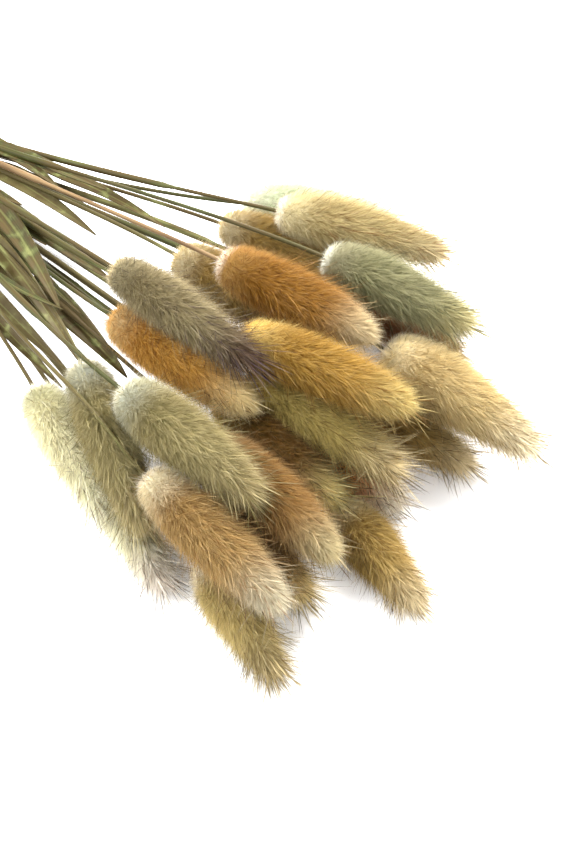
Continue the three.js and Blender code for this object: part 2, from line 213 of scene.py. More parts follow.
# From the lowest to the topmost: where the head starts, ahead of the foot of the tie and with its lift on
# the heads below, its yaw to the left and pitch up, its length and radius, how frayed its tip is (0 is
# round and short, 1 is pointed and long), and its dye. A scratch program worked out places and ways from
# feet and tips read off the photograph, and they were then changed by hand. The lifts of heads 10, 11, 18,
# 20 and 24 are those that the part's rules find.
HEADS = [
    ((161, 60, 10), 33, 1, 55, 7.4, 0.6, "pale"),
    ((248, -56, 6), -20, 2, 50, 7.4, 1.0, "olive"),
    ((197, -51, 6), -23, 2, 56, 6.8, 1.0, "moss"),
    ((233, -36, 6), -11, 2, 52, 7.0, 0.8, "brown olive"),
    ((266, -14, 6), -15, 2, 47, 7.4, 0.8, "brown"),
    ((231, 0, 6), -1, 2, 53, 6.8, 0.5, "dark brown"),
    ((240, 21, 7), 6, 1, 52, 7.0, 0.6, "brown"),
    ((209, 49, 12), 8, 0, 54, 7.2, 0.5, "golden brown"),
    ((164, 45, 14), 16, -1, 54, 7.0, 0.5, "olive cream"),
    ((169, -49, 17.25), -21, -1, 52, 7.0, 1.0, "pale olive"),
    ((216, -13, 16.25), -4, 0, 57, 7.0, 0.8, "green"),
    ((245.6, 34, 22), 3, -2, 62.4, 9.8, 1.0, "straw"),
    ((219.4, -2.1, 23), 3, -1, 62.6, 7.8, 0.8, "green tan"),
    ((229, -30, 24), -6, -2, 58, 7.4, 0.15, "caramel tan"),
    ((168, 19.6, 22), 4, 0, 57, 8.0, 0.4, "olive cream"),
    ((182, 54, 26), 25, -1, 62, 7.6, 0.7, "gold"),
    ((224.4, -54.8, 28), -5, -4, 62.6, 7.7, 0.35, "peach"),
    ((174, -17, 29), 3, 0, 61, 7.6, 0.15, "light caramel"),
    ((180, -38, 29), -28, -8, 64, 7.4, 0.6, "sage"),
    ((201, -40, 36), -1, -1, 60, 8.4, 0.6, "sage"),
    ((213, 42, 36), 14, -4, 57, 7.6, 0.75, "mint"),
    ((214.8, -1.3, 38), 16, -2, 62.2, 7.6, 0.3, "amber"),
    ((192, 15, 42), 12, -4, 59, 7.6, 0.1, "caramel"),
    ((169, -10, 42.75), 1, 2, 62, 6.7, 0.8, "taupe"),
]
HEAD_NOD = -5
HEAD_STEPS = 14

# How far the hairs alone reach ahead of the head's body, at a round tip and at a frayed one.
TIP_TUFT = (5.5, 8.0)

# The foot of the tie, which all these places start from, is read from its solid.
TIE_HALF_LENGTH = 3.4
tie_low, tie_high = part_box("tie")
TIE_FOOT = np.array([tie_high.x / MM - TIE_HALF_LENGTH, (tie_low.y + tie_high.y) / 2 / MM, 0.0])

# The skin that the hairs grow on: its share of the head's radius, its rings and sides, and where its first
# and last rings are, in half turns of a cosine.
SKIN_SHARE = 0.94
SKIN_RINGS = 22
SKIN_SIDES = 16
SKIN_SPAN = (0.06, 0.97)

# How fast a head's outline closes at its ends, the power that sets where it is widest, and from where, by
# how much and with what power it narrows to a frayed tip.
BLUNT = 0.37
WIDEST = 0.62
NARROWS_FROM = 0.35
POINTED = 0.6
NARROWING = 1.5

# The coats of hair from the skin out: hairs to a square millimetre, their length over the foot and further
# on, how much longer they are at a frayed tip, their degrees off the skin over the foot and further on, how
# far they bend and stray, their width and parts, their first and last row of the colour map, and how much
# denser they stand at a round tip and at a frayed one.
COATS = {
    "down": {
        "density": 9.4, "length": (3.2, 4.8), "tip": 0.35, "stand": (66, 48), "bend": 0.45, "stray": 0.34,
        "width": 0.15, "parts": 1, "rows": (0, 2), "denser": (0.6, 0.6),
    },
    "hair": {
        "density": 5.8, "length": (4.0, 7.8), "tip": 0.35, "stand": (68, 47), "bend": 0.4, "stray": 0.34,
        "width": 0.12, "parts": 1, "rows": (3, 5), "denser": (0.6, 0.6),
    },
    "bristle": {
        "density": 0.75, "length": (4.4, 8.6), "tip": 0.4, "stand": (74, 58), "bend": 0.3, "stray": 0.45,
        "width": 0.13, "parts": 1, "rows": (8, 8), "denser": (-1.0, 0.6),
    },
    "awn": {
        "density": 0.42, "length": (5.4, 17.0), "tip": 0.3, "stand": (60, 46), "bend": 0.1, "stray": 0.7,
        "width": 0.2, "parts": 3, "rows": (7, 8), "denser": (-1.0, 3.0),
    },
}

# How far the length of a hair varies, how large tufts of hairs are, how far they lean, and how far already
# at the foot.
LENGTH_RANGE = (0.55, 1.2)
TUFT_SIZE = 1.7
TUFTED = 0.2
TUFTED_FOOT = 0.4

# From where on hairs have their full length, and the longest that any is, on the sides and at the tip.
FULL_FROM = 0.6
REACH = (13.6, 20.0)

# How much wider hairs are at the tip, as a share of how much denser they stand there.
WIDER = 0.2

# How far the hairs at a round tip are as short and steep as those at the foot.
ROUNDED = 0.75

# From where to where along the head the hairs turn to what they are at its tip, and how far forward they
# lean there at a round tip and more at a frayed one.
DENSE_FADES = (0.5, 0.95)
WIDE_FADES = (0.6, 0.95)
LONG_FADES = (0.55, 1.0)
REACH_FADES = (0.8, 1.0)
FORWARD_FADES = (0.72, 1.0)
FORWARD = 0.5
FORWARD_FRAYED = 2.0

# One hair: where its point starts, how much it thins, how far it is rolled at most, how high over the table
# it stays at least, and by how much that varies.
POINT_FROM = 0.9
TAPER = 0.6
ROLL = 2.4
LEAST_HEIGHT = 0.2
HEIGHT_RANGE = 0.4

# How much of the light on a hair goes through it.
THROUGH = 0.45

# Hairs of one head are of a few shades, one row each of the colour map inside a margin: the down is
# darkest, as painted shade under the hairs over it, which are lighter by row, and the last two rows are
# pale and dark bristles.
SHADES = 9
ROW_MARGIN = 0.1
ROW_SPAN = 1 - 2 * ROW_MARGIN
BRISTLE_ROWS = (SHADES - 3.1, SHADES - 1.3)

# Across the colour map: the head's length, the spread of hairs side by side, and where hairs and bare skin
# start.
MAP_LENGTH = 0.96
MAP_SPREAD = 0.03
MAP_HAIRS = 0.005
MAP_SKIN = 0.02

# Colours by dye: of the skin under the hairs, dark as painted shade deep in the fur, of the hairs on the
# rim round the stem, at the foot, over the body and at the tip, and of the bristles' ends. Those of foot,
# body and tip were worked out from tones measured in the photograph and in renders, and so they hold for
# that view, with its light and shade painted in. Those of foot, body and tip were worked out by a scratch
# program from tones measured in the photograph and in renders, and so they hold for that view.
DYES = {
    "pale": ("8c8458", "fcfcf0", "dcd6cc", "d4dcc0", "c8d0d4", "6c5c38"),
    "olive": ("6e5c30", "f4e8c4", "fcf8f0", "d4c080", "b8a678", "44341a"),
    "moss": ("6a5e34", "f8f0dc", "fcfcf8", "fcf8dc", "f4ece0", "48382a"),
    "brown olive": ("64502a", "e8c884", "f4e098", "b89450", "f4e0a4", "40301a"),
    "brown": ("6c4c22", "f0deaa", "fcf4d0", "c0a45c", "dccca4", "443016"),
    "dark brown": ("503414", "885824", "64380f", "f0a44c", "f0e8d4", "341e0c"),
    "golden brown": ("68461a", "a8986c", "8a7d56", "844806", "907432", "402a12"),
    "olive cream": ("685830", "e8dcb8", "dcd4b4", "a48642", "9c8a44", "403418"),
    "pale olive": ("847a4c", "fcfaf0", "88865c", "f8f4d4", "fcfae0", "5c4c30"),
    "green": ("56522c", "d8a858", "f4d868", "8c621c", "f0e09c", "383014"),
    "straw": ("84643a", "fcfaf0", "fcf4d4", "dac690", "f0e6c9", "54401e"),
    # The rim of green tan is dark: painted shade, where its foot lies hidden under other heads.
    "green tan": ("60562a", "a88c48", "f4dc80", "c4b066", "dcca9c", "403014"),
    "caramel tan": ("66481f", "e4cc9c", "c4aa80", "a88040", "c8ba90", "442c12"),
    "gold": ("785a30", "fcfaf0", "e4dcb8", "c0b07c", "cfc094", "54381c"),
    "peach": ("785830", "fcfaf0", "f8f4d8", "b8985c", "d6ceb4", "543a1e"),
    "light caramel": ("744c18", "e8c890", "ccbc90", "d4a448", "fcecb8", "4c3010"),
    "sage": ("747246", "fcfaf0", "c9cec2", "ac9e6e", "bcac7e", "4c4624"),
    "mint": ("666644", "fcfcf4", "a8a285", "9c9870", "c6bb88", "40422a"),
    "amber": ("7c561c", "f4d890", "fce898", "b8933c", "d0bc78", "543812"),
    "caramel": ("6a4a16", "fcfaf0", "bc9a58", "a4741c", "d0c09a", "40260a"),
    "taupe": ("5e5338", "e4d4ac", "948c70", "a4966e", "624830", "2a1e24"),
}

# The ends of all hairs are bleached: to what colour, from where on, and how much more by row.
BLEACH = "f2e8cc"
BLEACH_FADES = (0.3, 1.0)
BLEACH_STEP = 0.04

# The light that goes through a hair is a little whiter than the hair, and less goes through a bristle.
WHITE_LIGHT = 0.8
WHITENED = 0.08
BRISTLE_STOPS = 0.8

# How far along the head the rim gives way to the foot, that to the body and that to the tip.
RIM_FADES = (0.02, 0.08)
FOOT_FADES = (0.08, 0.3)
TIP_FADES = (0.6, 0.95)

# How light roots at the foot are against their coat, how far they are so again at the tip, and where.
# Elsewhere roots take the dark skin colour, as painted shade deep in the fur.
FOOT_ROOT = 0.96
TIP_ROOT = 0.6
ROOT_FADES = (0.1, 0.4)
TIP_ROOT_FADES = (0.72, 0.9)

# How light the darkest row of hairs is, how much lighter each further row is, and where that sets in:
# painted shade, deepest in the inner rows.
DARKEST = 0.66
LIGHTER = 0.085
DARK_FADES = (0.0, 0.3)

# Where on its length a hair gets from its root's colour to its own, and a bristle to that of its end.
HAIR_FADES = (-0.1, 0.6)
QUILL_FADES = (-0.1, 0.5)

# Patches of tone on the coats, and how far they shift the colours' changes at the foot and the tip.
PATCHES = {"along": 26, "apart": 5, "detail": 3.0, "least": 0.85, "more": 0.3, "foot": 0.1, "tip": 0.14}


def linear(text):
    """A colour of two hexadecimal digits to each of red, green and blue, as light adds it up."""
    shares = [int(text[i : i + 2], 16) / 255 for i in (0, 2, 4)]
    return tuple(s / 12.92 if s < 0.04045 else ((s + 0.055) / 1.055) ** 2.4 for s in shares)


def lerp(low, high, t):
    return low + (high - low) * t


def heading(yaw, pitch):
    flat = math.cos(math.radians(pitch))
    turned = math.radians(yaw)
    return np.array([flat * math.cos(turned), flat * math.sin(turned), math.sin(math.radians(pitch))])


def outline(s, frayed):
    """A head's radius along its length as a share of the widest."""
    ahead = np.clip((s - NARROWS_FROM) / (1 - NARROWS_FROM), 0, 1)
    return np.sin(np.pi * s**WIDEST) ** BLUNT * (1 - POINTED * frayed * ahead**NARROWING)


def head_line(row):
    """A head's middle line from foot to tip and its way at each point, as it nods under its own weight."""
    base, yaw, pitch, length = row[:4]
    length = length - lerp(*TIP_TUFT, row[5])
    points, ways = [np.array(base, float)], [heading(yaw, pitch)]
    for i in range(1, HEAD_STEPS + 1):
        points.append(points[-1] + ways[-1] * length / HEAD_STEPS)
        ways.append(heading(yaw, pitch + HEAD_NOD * i / HEAD_STEPS))
    return np.array(points) + TIE_FOOT, np.array(ways)


def square_to(way):
    """Two directions square to a way, the first as near to up as it can be."""
    left = np.cross([0, 0, 1], way)
    left /= np.linalg.norm(left)
    return np.cross(way, left), -left


def along_line(values, s):
    """Values that are spread evenly over 0 to 1, read at s."""
    places = np.linspace(0, 1, len(values))
    return np.stack([np.interp(s, places, values[:, k]) for k in range(3)], -1)


def hair_material(name, dye):
    """Dry hair with painted shade at its roots. The colour map runs along the head and along a hair in its
    row.
    """
    skin, rim, foot, body, tip, bristle = [linear(text) for text in dye]
    material, tree = new_material(name)
    s, rows = map_place(tree)
    rows = rows * SHADES
    shade = rows.maths("FLOOR", rows)
    t = (rows - shade - ROW_MARGIN) / ROW_SPAN
    is_bristle = shade.smooth(*BRISTLE_ROWS)
    patches = noise(tree, combined(tree, s * PATCHES["along"], shade * PATCHES["apart"]), PATCHES["detail"])

    coat = (s + (patches - 0.5) * PATCHES["foot"]).smooth(*FOOT_FADES).blend(foot, body)
    coat = s.smooth(*RIM_FADES).blend(rim, coat)
    coat = (s + (patches - 0.5) * PATCHES["tip"]).smooth(*TIP_FADES).blend(coat, tip)
    # Painted shade: the inner rows of hairs are darker than the outer ones, less so towards the foot.
    painted_depth_shade = (shade * LIGHTER + DARKEST - 1) * s.smooth(*DARK_FADES) + 1
    coat = coat * (painted_depth_shade * (patches * PATCHES["more"] + PATCHES["least"]))
    coat = (t.smooth(*BLEACH_FADES) * (shade * BLEACH_STEP)).blend(coat, linear(BLEACH))
    # Painted shade: roots take the dark skin colour deep in the fur, less so at the foot and the tip.
    root = (s.smooth(*ROOT_FADES) - s.smooth(*TIP_ROOT_FADES) * TIP_ROOT).blend(coat * FOOT_ROOT, skin)
    coat = t.smooth(*HAIR_FADES).blend(root, coat)
    quill = t.smooth(*QUILL_FADES).blend(coat, bristle)
    colour = is_bristle.blend(coat, quill)

    shell = plain_shader(tree, "hair", colour)
    # What light goes through a hair takes the plain colour of the body or of the tip.
    glows = []
    for plain in (body, tip):
        whitened = lerp(np.array(plain), WHITE_LIGHT, WHITENED)
        glows.append(put(tree, "ShaderNodeBsdfTranslucent", {}, {"Color": whitened}))
    through = put(tree, "ShaderNodeMixShader", {}, {0: s.smooth(*TIP_FADES), 1: glows[0], 2: glows[1]})
    share = THROUGH * (1 - is_bristle * BRISTLE_STOPS)
    show_surface(tree, put(tree, "ShaderNodeMixShader", {}, {0: share, 1: shell, 2: through}))
    return material


def new_tree(name, sockets):
    """A geometry tree with a geometry input, further inputs by name, and one geometry output."""
    tree = bpy.data.node_groups.new(name, "GeometryNodeTree")
    tree.interface.new_socket(name="Geometry", in_out="INPUT", socket_type="NodeSocketGeometry")
    for socket, kind in sockets.items():
        tree.interface.new_socket(name=socket, in_out="INPUT", socket_type="NodeSocket" + kind)
    tree.interface.new_socket(name="Geometry", in_out="OUTPUT", socket_type="NodeSocketGeometry")
    ins = tree.nodes.new("NodeGroupInput")
    return tree, {socket.name: Wire(socket) for socket in ins.outputs if socket.name}


def close_tree(tree, geometry, material):
    """Ends a tree: its copies become real, and it takes its material."""
    real = put(tree, "GeometryNodeRealizeInstances", {}, {"Geometry": geometry})
    dressed = put(tree, "GeometryNodeSetMaterial", {}, {"Geometry": real, "Material": material})
    ends = tree.nodes.new("NodeGroupOutput")
    tree.links.new(dressed.socket, ends.inputs["Geometry"])


def keep(tree, geometry, name, value, kind=None, domain="POINT"):
    """The geometry with that value stored on it under a name."""
    settings = {"data_type": kind or ("FLOAT_VECTOR" if holds_vector(value) else "FLOAT"), "domain": domain}
    inputs = {"Geometry": geometry, "Name": name, "Value": value}
    return put(tree, "GeometryNodeStoreNamedAttribute", settings, inputs)


def keep_map(tree, geometry, x, y):
    """The geometry with the place of each of its corners in the colour map."""
    return keep(tree, geometry, "OFBake", combined(tree, x, y), "FLOAT2", "CORNER")


def join(tree, parts):
    """Those geometries as one."""
    both = tree.nodes.new("GeometryNodeJoinGeometry")
    for part in parts:
        tree.links.new(part.socket, both.inputs[0])
    return Wire(both.outputs[0])


def move(tree, geometry, places):
    return put(tree, "GeometryNodeSetPosition", {}, {"Geometry": geometry, "Position": places})


def read(tree, name, kind="FLOAT"):
    return put(tree, "GeometryNodeInputNamedAttribute", {"data_type": kind}, {"Name": name})


def chance(tree, kind, low, high, seed):
    inputs = {"Min": low, "Max": high, "Seed": seed}
    return put(tree, "FunctionNodeRandomValue", {"data_type": kind}, inputs)


def unit(vector):
    return vector.maths("NORMALIZE", vector)


def dot(one, two):
    return put(one.tree, "ShaderNodeVectorMath", {"operation": "DOT_PRODUCT"}, {0: one, 1: two}, "Value")


def cross(one, two):
    return one.maths("CROSS_PRODUCT", one, two)


def above(tree, place, least):
    """That place, raised to the least height where it is lower."""
    x, y, z = parts_of(tree, place)
    return combined(tree, x, y, z.maths("MAXIMUM", z, least))


def sow(tree, mesh, density, seed):
    """Points strewn at random over a mesh."""
    inputs = {"Mesh": mesh, "Density": density, "Seed": seed}
    return put(tree, "GeometryNodeDistributePointsOnFaces", {"distribute_method": "RANDOM"}, inputs)


def planted(tree, points, thing, more=None):
    """Real copies of a thing on those points."""
    inputs = {"Points": points, "Instance": thing, **(more or {})}
    copies = put(tree, "GeometryNodeInstanceOnPoints", {}, inputs)
    return put(tree, "GeometryNodeRealizeInstances", {}, {"Geometry": copies})


def smoothed(tree, geometry):
    return put(tree, "GeometryNodeSetShadeSmooth", {}, {"Geometry": geometry, "Shade Smooth": True})


def one_hair(tree, parts):
    """A flat strip, one long and one wide, that ends in a point and knows the places across and along."""
    grid = {"Size X": 1.0, "Size Y": 1.0, "Vertices X": parts + 1, "Vertices Y": 2}
    strip = put(tree, "GeometryNodeMeshGrid", {}, grid)
    along, side, _ = parts_of(tree, put(tree, "GeometryNodeInputPosition"))
    t = along + 0.5
    strip = keep(tree, strip, "t", t)
    strip = keep(tree, strip, "side", side)
    strip = move(tree, strip, combined(tree, t, side * (1 - t.smooth(POINT_FROM, 1.0))))
    return put(tree, "GeometryNodeMergeByDistance", {}, {"Geometry": strip, "Distance": 0.01})


def sown_hairs(tree, given, number, sizes):
    """The hairs of one coat as strips on the skin, each with what its shape and colour depend on."""
    s, frayed = read(tree, "along"), given["Frayed"]
    seed = given["Seed"] * 10 + number
    low, high = sizes["denser"]
    denser = s.smooth(*DENSE_FADES) * (low + frayed * (high - low)) + 1
    sown = sow(tree, given["Geometry"], sizes["density"] / MM**2 * denser, seed)
    full = s.smooth(0.0, FULL_FROM)
    full = full * (1 - (1 - frayed) * s.smooth(*WIDE_FADES) * ROUNDED)
    foot, rest = [length * MM for length in sizes["length"]]
    size = lerp(foot, rest, full) * chance(tree, "FLOAT", *LENGTH_RANGE, seed + 3)
    size = size * (s.smooth(*LONG_FADES) * frayed * sizes["tip"] + 1)
    reach = lerp(*[length * MM for length in REACH], s.smooth(*REACH_FADES))
    first, last = sizes["rows"]
    pick = chance(tree, "FLOAT", float(first), last + 0.99, seed + 4)
    wider = s.smooth(*WIDE_FADES) * (high * WIDER) + 1
    luck = chance(tree, "FLOAT", 0.0, 1.0, seed + 5)
    stray = chance(tree, "FLOAT_VECTOR", (-1.0, -1.0, -1.0), (1.0, 1.0, 1.0), seed + 6)
    marks = {
        "root": put(tree, "GeometryNodeInputPosition"),
        "skin": Wire(sown.socket.node.outputs["Normal"]),
        "size": size.maths("MINIMUM", size, reach),
        "stand": lerp(*sizes["stand"], full),
        "thick": sizes["width"] * MM * wider,
        "shade": pick.maths("FLOOR", pick),
        "luck": luck,
        "stray": stray * sizes["stray"],
        "bend": sizes["bend"],
    }
    points = sown
    for name, value in marks.items():
        points = keep(tree, points, name, value)
    return planted(tree, points, one_hair(tree, sizes["parts"]))


def hair_tree():
    """Grows the coats on a skin that knows how far along the head it is (along) and its way there (way)."""
    tree, given = new_tree("hair coats", {"Frayed": "Float", "Seed": "Int", "Material": "Material"})
    coats = [sown_hairs(tree, given, number, sizes) for number, sizes in enumerate(COATS.values())]
    hairs = join(tree, coats)

    # Where each point of a hair goes: out of the skin and forward, bending to the way of the head.
    vectors = [read(tree, name, "FLOAT_VECTOR") for name in ("root", "skin", "way", "stray")]
    root, normal, way, stray = vectors
    s, t, side, luck = [read(tree, name) for name in ("along", "t", "side", "luck")]
    forward = unit(way - normal * dot(normal, way))
    turned = s.smooth(*FORWARD_FADES) * (given["Frayed"] * FORWARD_FRAYED + FORWARD)
    forward = unit(forward + way * turned)
    angle = read(tree, "stand") * (math.pi / 180)
    tufts = noise(tree, root * (1 / (TUFT_SIZE * MM)), 1.0, "Color")
    lean = (tufts - (0.5, 0.5, 0.5)) * (TUFTED * (s + TUFTED_FOOT)) + stray
    start = unit(forward * angle.maths("COSINE", angle) + normal * angle.maths("SINE", angle) + lean)
    line = start * t + (way - start) * (read(tree, "bend") * t * t * 0.5)
    across = cross(way, normal)
    roll = (luck - 0.5) * ROLL
    across = unit(across * roll.maths("COSINE", roll) + normal * roll.maths("SINE", roll))
    width = side * read(tree, "thick") * (1 - t * t * TAPER)
    place = root + line * read(tree, "size") + across * width
    place = above(tree, place, LEAST_HEIGHT * MM + luck * (HEIGHT_RANGE * MM))
    hairs = move(tree, hairs, place)
    row = (read(tree, "shade") + ROW_MARGIN + t * ROW_SPAN) * (1 / SHADES)
    hairs = keep_map(tree, hairs, s * MAP_LENGTH + luck * MAP_SPREAD + MAP_HAIRS, row)
    # The bare skin takes the roots' colour: dark, as painted shade deep in the fur.
    bare = keep_map(tree, given["Geometry"], s * MAP_LENGTH + MAP_SKIN, ROW_MARGIN / SHADES)
    close_tree(tree, join(tree, [bare, hairs]), given["Material"])
    return tree


def made_by(tree, thing, values):
    """Gives a thing the plain mesh that a tree makes of it, with those values of the tree's inputs."""
    modifier = thing.modifiers.new("made", "NODES")
    modifier.node_group = tree
    names = {item.name: item.identifier for item in tree.interface.items_tree if item.in_out == "INPUT"}
    for name, value in values.items():
        modifier[names[name]] = value
    ready = thing.evaluated_get(bpy.context.evaluated_depsgraph_get())
    mesh = bpy.data.meshes.new_from_object(ready)
    thing.modifiers.clear()
    thing.data = mesh
    return thing


def head_skin(row, name, material):
    """The bare head: rings round its middle line, closed at both ends."""
    points, ways = head_line(row)
    radius = row[4] * SKIN_SHARE
    places = 0.5 - 0.5 * np.cos(np.linspace(*SKIN_SPAN, SKIN_RINGS) * np.pi)
    corners, along, way = [], [], []
    for s in places:
        at, forward = along_line(points, s), along_line(ways, s)
        up, right = square_to(forward)
        for k in range(SKIN_SIDES):
            angle = 2 * np.pi * k / SKIN_SIDES
            reach = radius * outline(s, row[5])
            corners.append(at + reach * (up * np.cos(angle) + right * np.sin(angle)))
            along.append(s)
            way.append(forward)
    for s in (0.0, 1.0):
        corners.append(along_line(points, s))
        along.append(s)
        way.append(along_line(ways, s))
    faces = []
    for i in range(SKIN_RINGS - 1):
        for k in range(SKIN_SIDES):
            a, b = i * SKIN_SIDES + k, i * SKIN_SIDES + (k + 1) % SKIN_SIDES
            faces.append((a, b, b + SKIN_SIDES, a + SKIN_SIDES))
    last = (SKIN_RINGS - 1) * SKIN_SIDES
    for k in range(SKIN_SIDES):
        following = (k + 1) % SKIN_SIDES
        faces.append((len(corners) - 2, following, k))
        faces.append((len(corners) - 1, last + k, last + following))
    skin = add_mesh(name, np.array(corners) * MM, [], faces, material)
    skin.data.attributes.new("along", "FLOAT", "POINT").data.foreach_set("value", along)
    skin.data.attributes.new("way", "FLOAT_VECTOR", "POINT").data.foreach_set("vector", np.ravel(way))
    return skin


hair_coats = hair_tree()
hair_materials = {}
for dye, colours in DYES.items():
    hair_materials[dye] = hair_material("hair_" + dye.replace(" ", "_"), colours)
slots = {entry["node"]: entry["material_slot"] for entry in frame["record"]["subparts"]}
for number, row in enumerate(HEADS, 1):
    node = f"head_{number:02d}"
    material = hair_materials[row[6]]
    skin = head_skin(row, "hairy_" + node, material)
    head = made_by(hair_coats, skin, {"Frayed": row[5], "Seed": number, "Material": material})
    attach(head, "root")
    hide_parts(node)


# Stems and leaves.
#
# Each culm is a round stem, wrapped in leaf sheaths for about half its way and bare and thin from there to
# its head, with two swollen nodes. Some carry leaf blades. All of a culm grew in one piece, and dried to
# olive green or tan.

# Slots of the stems in the tie, as rows from the lowest up.
SLOT_ROWS = [4, 5, 6, 5, 4]
SLOT_PITCH = 2.6
LOWEST_SLOT = 2.8
ROW_PITCH = SLOT_PITCH * math.sin(math.radians(60))
HALF_HEIGHT = (len(SLOT_ROWS) - 1) / 2 * ROW_PITCH
HALF_WIDTH = (max(SLOT_ROWS) - 1) / 2 * SLOT_PITCH
TIE_HEIGHT = LOWEST_SLOT + HALF_HEIGHT

STEM_GAP = 0.3
STEM_RADIUS = {"cut": 0.95, "tie": 1.0, "sheath": 1.12, "head": 0.7}
SHEATH_END = [0.48, 0.66, 0.56, 0.74]
STEM_BOW = {"start": 0.34, "end": 0.26}
TAIL = {"length": 105, "across": 1.7, "up": 1.1, "curve": 1.3}
STEM_POINTS = {"behind": 18, "ahead": 90}
STEM_SIDES = 10

# How fast a sheath swells ahead of the tie, over how much of the way it ends, and how fast a bend sets in.
SHEATH_SWELLS = 4
SHEATH_EDGE = 0.02
BEND_SETS_IN = 2.5

# A stem's cut end on its way, which counts from 0 at the tie to 1 at its head.
CUT_END = -0.5

# The few stems that are bent aside to pass a neighbour, as the part's rules find: by how much and how late.
BENDS = {
    6: ((0, 0, 1.5), 0.7),
    8: ((0, -1.5, -1.5), 4),
    12: ((0, 1.5, -1.5), 1.7),
    17: ((0, 0, 6), 4),
    22: ((0, 1.5, -1.5), 4),
}

# Nodes of a stem: where they are on its way, how much they swell and how long they are.
NODES = {"places": (0.09, 0.34), "swell": 0.34, "length": 1.5}

# The leaf blades: on which culm, how far ahead of the tie each leaves its stem, where its tip is, how wide
# it is, and how far its face is rolled over from up at its foot. The tips of four, on culms 8, 16, 20 and
# 22, are moved as the part's rules find.
BLADES = [
    (21, 76, (129, 25, 22), 6, 10),
    (24, 92, (161, -28, 32), 8, 30),
    (14, 136, (188, -27, 19), 9, 20),
    (19, 104, (174, -34, 22), 7, 20),
    (17, 96, (169, -35, 14), 7, 30),
    (22, 96, (162, -6, 28), 7, 30),
    (15, 80, (137, 11, 17), 6.5, 20),
    (12, 62, (115, 20, 12), 6.5, 30),
    (9, 92, (154, 27, 20), 5, 20),
    (18, 100, (164, -22, 27), 5, 40),
    (13, 66, (126, -2, 15), 8, 20),
    (14, 78, (158, -28, 15), 7, 10),
    (22, 62, (121, -5.5, 34), 6.5, 20),
    (16, 66, (112, 19, 15.5), 6, 20),
    (8, 74, (130, 22.5, 10.5), 4.6, 10),
    (10, 112, (171, -40, 12), 5.5, 20),
    (20, 128, (163, -28.5, 34.5), 2.4, 20),
    (3, 70, (136, -26, 8), 7, 20),
]
BLADE_THICK = 0.34
BLADE_RISE = 0.18
BLADE_STEPS = 36
BLADE_STRIPS = 8
BLADE_BOW = 0.4
BLADE_FOLD = 0.16
BLADE_CURL = 1.4
BLADE_TWIST = -25
BLADE_WAVE = 0.1
BLADE_WAVES = 9

# The outline of a blade: its foot's share, where it is full, and the powers of its swell and point.
BLADE_OUTLINE = {"foot": 0.3, "full": 0.3, "swell": 0.8, "point": 2.6, "blunt": 0.9, "least": 0.05}

# Across the colour map: a stem's width and start, over what span blades start, their rib and half widths.
STEM_MAP = {"width": 0.5, "from": 0.02}
BLADE_MAP = {"from": (0.3, 0.34), "rib": 0.55, "half": 0.2, "rib half": 0.03}

# Pale, body, dark and worn colours of the culms by slot, set against tones measured in the photograph,
# where the stems lie in shade: their darkness is partly their own and partly painted shade.
CULM_COLOURS = {
    "stem_green": ("6a6c40", "3b3e19", "201f0a", "3c2e14"),
    "stem_tan": ("89765d", "735e40", "59452c", "4f3c26"),
}

# The veins and patches of a culm: how many across the map and along it, and how far apart culms are in
# them.
VEINS = {"across": 46, "along": 3, "apart": 5, "detail": 2.0}
BLOTCHES = {"across": 3, "along": 11, "apart": 9, "detail": 3.0}

# Where the tones of veins, patches and blade tips change, how strongly worn, rib and tip show, and how far
# a culm's own cast shifts the patches.
VEIN_FADES = (0.32, 0.68)
PALE_FADES = (0.46, 0.8)
WORN_FADES = (0.52, 0.3)
BLADE_TIP_FADES = (0.72, 1.0)
STRENGTH = {"worn": 0.8, "rib": 0.4, "tip": 0.6}
CAST = {"pale": 0.5, "worn": 0.3}
CULM_RIDGES = (0.5, 0.2)


def spread_out(values):
    """Values stretched to run from -1 to 1."""
    return [2 * (value - min(values)) / (max(values) - min(values)) - 1 for value in values]


def slots_in_tie():
    """Each stem's slot: on the side of the bundle that its head lies on, so that the stems fan out."""
    slots = [
        ((k - (count - 1) / 2) * SLOT_PITCH, LOWEST_SLOT + row * ROW_PITCH)
        for row, count in enumerate(SLOT_ROWS)
        for k in range(count)
    ]
    sideways = spread_out([row[0][1] / row[0][0] for row in HEADS])
    upwards = spread_out([(row[0][2] - TIE_HEIGHT) / row[0][0] for row in HEADS])

    def cost(i, slot):
        aside, above = slot[0] / HALF_WIDTH - sideways[i], (slot[1] - TIE_HEIGHT) / HALF_HEIGHT - upwards[i]
        return aside**2 + above**2

    swapped = True
    while swapped:
        swapped = False
        for i in range(len(slots)):
            for j in range(i):
                now = cost(i, slots[i]) + cost(j, slots[j])
                if cost(i, slots[j]) + cost(j, slots[i]) < now - 1e-9:
                    slots[i], slots[j] = slots[j], slots[i]
                    swapped = True
    return slots


